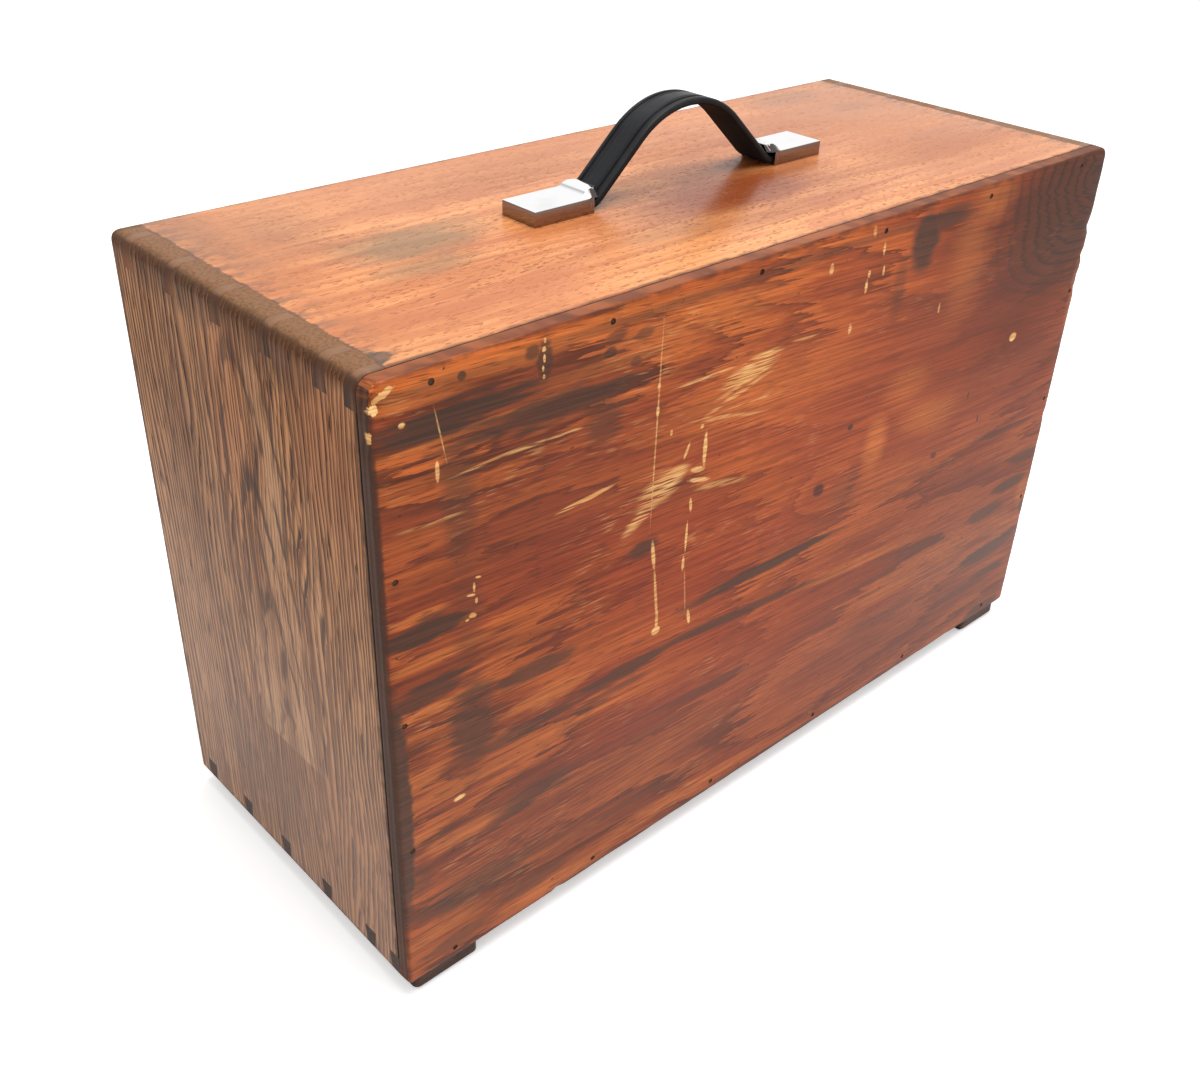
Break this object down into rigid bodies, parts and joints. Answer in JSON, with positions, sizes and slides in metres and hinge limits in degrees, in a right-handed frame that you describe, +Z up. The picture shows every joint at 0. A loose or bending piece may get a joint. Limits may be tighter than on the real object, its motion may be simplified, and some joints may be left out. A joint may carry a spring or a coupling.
{
  "type": "engineers tool chest",
  "caption": "Wooden engineer's tool chest with dovetailed case, strap handle on top, sliding drawers behind a lift-off front cover that stows in a slot below them, and a lock.",
  "frame": {"origin": "on the ground under the middle of the bounding box of the chest with its cover stowed", "axes": "+Z up, +X along the chest's width, the drawers open towards -Y and the plywood back faces +Y"},
  "size_m": [0.476, 0.2374, 0.3492],
  "materials": {
    "oak_top": "satin varnish, warm orange-brown oak",
    "oak_side": "satin varnish, greyer brown oak",
    "plywood_back": "stained softwood plywood, satin",
    "front_oak": "satin varnish",
    "inner_oak": "bare, waxed",
    "inner_ply": "bare",
    "dark_foot": "dark stain",
    "brass": "polished, worn",
    "steel": "plain",
    "key_steel": "nickelled",
    "chrome": "polished",
    "strap_black": "satin",
    "green_baize": "woven felt"
  },
  "bodies": {
    "carcase": {"top_board": "oak_top", "bottom_board": "oak_side", "left_side": "oak_side", "right_side": "oak_side", "back_panel": "plywood_back", "back_panel_pins": "steel", "feet": "dark_foot", "foot_screws": "steel", "left_lining": "inner_ply", "right_lining": "inner_ply", "cover_shelf": "inner_oak", "drawer_dividers": "inner_ply", "partitions_kickers": "inner_oak", "front_rail": "front_oak", "lock_case": "brass", "escutcheon": "brass", "handle_strap": "strap_black", "handle_cap_left": "chrome", "handle_cap_right": "chrome", "handle_screws": "steel"},
    "front_cover": {"cover_panel": "front_oak", "cover_pegs": "brass", "cover_strike": "brass"},
    "lock_key": {"key": "key_steel"},
    "bolt": {"lock_bolt": "steel"},
    "drawer_bottom": {"drawer_bottom_front": "front_oak", "drawer_bottom_frame": "inner_oak", "drawer_bottom_bottom": "inner_ply", "drawer_bottom_baize": "green_baize", "drawer_bottom_knobs": "brass"},
    "drawer_lower": {"drawer_lower_front": "front_oak", "drawer_lower_frame": "inner_oak", "drawer_lower_bottom": "inner_ply", "drawer_lower_baize": "green_baize", "drawer_lower_knobs": "brass"},
    "drawer_middle": {"drawer_middle_front": "front_oak", "drawer_middle_frame": "inner_oak", "drawer_middle_bottom": "inner_ply", "drawer_middle_baize": "green_baize", "drawer_middle_knobs": "brass"},
    "drawer_upper_left": {"drawer_upper_left_front": "front_oak", "drawer_upper_left_frame": "inner_oak", "drawer_upper_left_bottom": "inner_ply", "drawer_upper_left_baize": "green_baize", "drawer_upper_left_knobs": "brass"},
    "drawer_upper_right": {"drawer_upper_right_front": "front_oak", "drawer_upper_right_frame": "inner_oak", "drawer_upper_right_bottom": "inner_ply", "drawer_upper_right_baize": "green_baize", "drawer_upper_right_knobs": "brass"},
    "drawer_top_left": {"drawer_top_left_front": "front_oak", "drawer_top_left_frame": "inner_oak", "drawer_top_left_bottom": "inner_ply", "drawer_top_left_baize": "green_baize", "drawer_top_left_knobs": "brass"},
    "drawer_top_right": {"drawer_top_right_front": "front_oak", "drawer_top_right_frame": "inner_oak", "drawer_top_right_bottom": "inner_ply", "drawer_top_right_baize": "green_baize", "drawer_top_right_knobs": "brass"}
  },
  "joints": [
    {"name": "drawer_bottom_slide", "type": "slide", "parent": "carcase", "child": "drawer_bottom", "axis": [0, -1, 0], "range_m": [0, 0.13]},
    {"name": "drawer_lower_slide", "type": "slide", "parent": "carcase", "child": "drawer_lower", "axis": [0, -1, 0], "range_m": [0, 0.13]},
    {"name": "drawer_middle_slide", "type": "slide", "parent": "carcase", "child": "drawer_middle", "axis": [0, -1, 0], "range_m": [0, 0.13]},
    {"name": "drawer_upper_left_slide", "type": "slide", "parent": "carcase", "child": "drawer_upper_left", "axis": [0, -1, 0], "range_m": [0, 0.13]},
    {"name": "drawer_upper_right_slide", "type": "slide", "parent": "carcase", "child": "drawer_upper_right", "axis": [0, -1, 0], "range_m": [0, 0.13]},
    {"name": "drawer_top_left_slide", "type": "slide", "parent": "carcase", "child": "drawer_top_left", "axis": [0, -1, 0], "range_m": [0, 0.13]},
    {"name": "drawer_top_right_slide", "type": "slide", "parent": "carcase", "child": "drawer_top_right", "axis": [0, -1, 0], "range_m": [0, 0.13]},
    {"name": "front_cover_slide", "type": "slide", "parent": "carcase", "child": "front_cover", "axis": [0, -1, 0], "range_m": [0, 0.18]},
    {"name": "key_turn", "type": "hinge", "parent": "carcase", "child": "lock_key", "pos_m": [0, -0.09475, 0.281], "axis": [0, -1, 0], "range_deg": [-90, 0]},
    {"name": "bolt_slide", "type": "slide", "parent": "carcase", "child": "bolt", "axis": [0, 0, 1], "range_m": [-0.0045, 0]}
  ],
  "couplings": [
    {"joint": "bolt_slide", "follows": "key_turn", "m_per_rad": 0.0028647}
  ]
}
